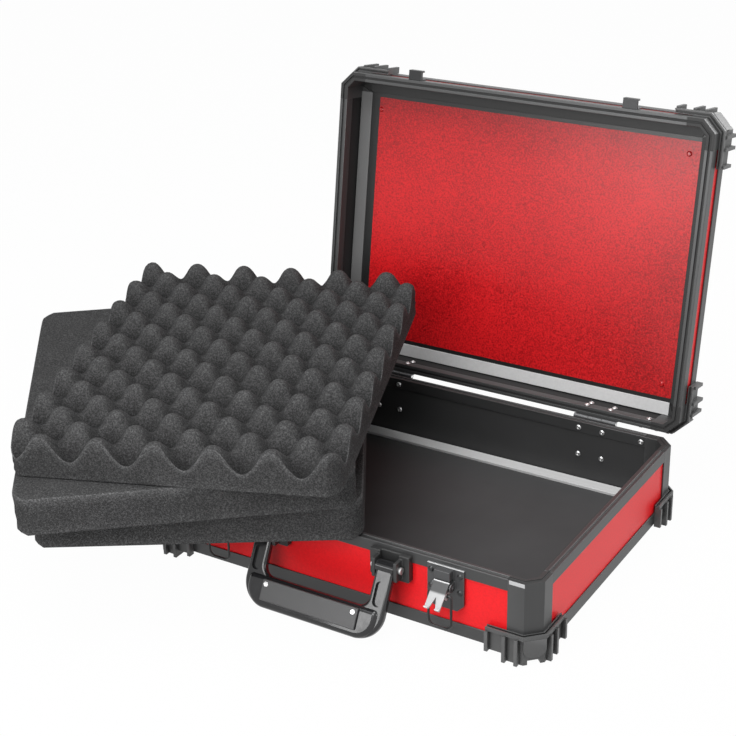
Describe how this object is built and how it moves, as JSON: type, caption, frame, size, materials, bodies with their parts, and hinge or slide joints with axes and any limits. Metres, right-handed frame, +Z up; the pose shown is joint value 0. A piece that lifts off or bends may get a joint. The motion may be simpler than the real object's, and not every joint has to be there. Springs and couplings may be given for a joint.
{
  "type": "transport case",
  "caption": "Open transport case: boarded shell in black rails, ribbed corner guards, hinged lid, draw latches, drop handle, and foam sheets stacked across its corner.",
  "frame": {"origin": "centre of the base's footprint, on the surface that the case stands on", "axes": "+X to the right seen from the handle, +Y to the hinges, +Z up"},
  "size_m": [0.6736, 0.6301, 0.4221],
  "materials": {
    "red_panel": "fine grained red laminate",
    "black_board": "black lined board",
    "dark_rail": "satin black anodised",
    "bright_strip": "satin mill finish",
    "black_guard": "moulded, low sheen",
    "gloss_black": "polished moulding",
    "grey_grip": "satin grey",
    "black_steel": "black coated pressing",
    "bright_steel": "bright plated",
    "rivet_steel": "plain rivet head",
    "seal_rubber": "soft seal",
    "grey_foam": "open cell foam"
  },
  "bodies": {
    "base": {"base_front_skin": "red_panel", "base_rear_skin": "red_panel", "base_end_skins": "red_panel", "base_front_board": "black_board", "base_rear_board": "black_board", "base_end_boards": "black_board", "base_floor_board": "black_board", "base_floor_skin": "red_panel", "base_rim_front_rail": "dark_rail", "base_rim_rear_rail": "dark_rail", "base_rim_end_rails": "dark_rail", "base_edge_rails": "dark_rail", "base_corner_posts": "dark_rail", "base_corner_guards": "black_guard", "base_floor_strips": "bright_strip", "base_hinge_rivets": "rivet_steel", "hinge_base_leaves": "black_steel", "hinge_pins": "rivet_steel", "latch_plate_left": "black_steel", "latch_plate_right": "black_steel", "latch_pins": "rivet_steel", "latch_rivets": "black_steel", "handle_brackets": "black_guard", "handle_pins": "black_steel"},
    "lid": {"lid_front_skin": "red_panel", "lid_rear_skin": "red_panel", "lid_end_skins": "red_panel", "lid_front_board": "black_board", "lid_rear_board": "black_board", "lid_end_boards": "black_board", "lid_top_panel": "red_panel", "lid_rim_front_rail": "dark_rail", "lid_rim_rear_rail": "dark_rail", "lid_rim_end_rails": "dark_rail", "lid_edge_rails": "dark_rail", "lid_corner_posts": "dark_rail", "lid_corner_guards": "black_guard", "lid_border_strips": "bright_strip", "lid_seal": "seal_rubber", "lid_panel_screws": "rivet_steel", "lid_hinge_rivets": "rivet_steel", "lid_catches": "black_steel", "hinge_lid_leaves": "black_steel"},
    "handle": {"handle_frame": "gloss_black", "handle_grip": "grey_grip", "handle_screws": "bright_steel"},
    "lever_left": {"latch_lever_left": "bright_steel"},
    "lever_right": {"latch_lever_right": "bright_steel"},
    "bush_left": {"latch_bush_left": "black_steel"},
    "bush_right": {"latch_bush_right": "black_steel"},
    "bail_left": {"latch_bail_left": "black_steel"},
    "bail_right": {"latch_bail_right": "black_steel"},
    "foam_bottom": {"foam_bottom_slab": "grey_foam"},
    "foam_middle": {"foam_middle_slab": "grey_foam"},
    "foam_wave": {"foam_wave_sheet": "grey_foam"}
  },
  "joints": [
    {"name": "lid_hinge", "type": "hinge", "parent": "base", "child": "lid", "pos_m": [0, 0.1672, 0.08465], "axis": [1, 0, 0], "range_deg": [0, 99]},
    {"name": "handle_pivot", "type": "hinge", "parent": "base", "child": "handle", "pos_m": [0, -0.174, 0.067], "axis": [-1, 0, 0], "range_deg": [-28, 62]},
    {"name": "lever_left_pivot", "type": "hinge", "parent": "base", "child": "lever_left", "pos_m": [-0.1245, -0.171, 0.063], "axis": [-1, 0, 0], "range_deg": [-45, 45]},
    {"name": "bush_left_turn", "type": "hinge", "parent": "lever_left", "child": "bush_left", "pos_m": [-0.1245, -0.17666, 0.05734], "axis": [-1, 0, 0], "range_deg": [-45, 45]},
    {"name": "bail_left_swing", "type": "hinge", "parent": "bush_left", "child": "bail_left", "pos_m": [-0.1245, -0.17666, 0.05734], "axis": [-1, 0, 0], "range_deg": [0, 135]},
    {"name": "lever_right_pivot", "type": "hinge", "parent": "base", "child": "lever_right", "pos_m": [0.1245, -0.171, 0.063], "axis": [-1, 0, 0], "range_deg": [-45, 45]},
    {"name": "bush_right_turn", "type": "hinge", "parent": "lever_right", "child": "bush_right", "pos_m": [0.1245, -0.17666, 0.05734], "axis": [-1, 0, 0], "range_deg": [-45, 45]},
    {"name": "bail_right_swing", "type": "hinge", "parent": "bush_right", "child": "bail_right", "pos_m": [0.1245, -0.17666, 0.05734], "axis": [-1, 0, 0], "range_deg": [0, 178]},
    {"name": "foam_bottom_slide", "type": "slide", "parent": "base", "child": "foam_bottom", "axis": [-0.7071, -0.7071, 0], "range_m": [0, 0.51]},
    {"name": "foam_middle_lift", "type": "slide", "parent": "foam_bottom", "child": "foam_middle", "axis": [0, 0, 1], "range_m": [0, 0.25]},
    {"name": "foam_wave_lift", "type": "slide", "parent": "foam_middle", "child": "foam_wave", "axis": [0, 0, 1], "range_m": [0, 0.25]}
  ],
  "couplings": [
    {"joint": "bush_left_turn", "follows": "lever_left_pivot", "ratio": -1},
    {"joint": "bush_right_turn", "follows": "lever_right_pivot", "ratio": -1},
    {"joint": "foam_bottom_slide", "follows": "lid_hinge", "m_per_rad": 0.29}
  ]
}
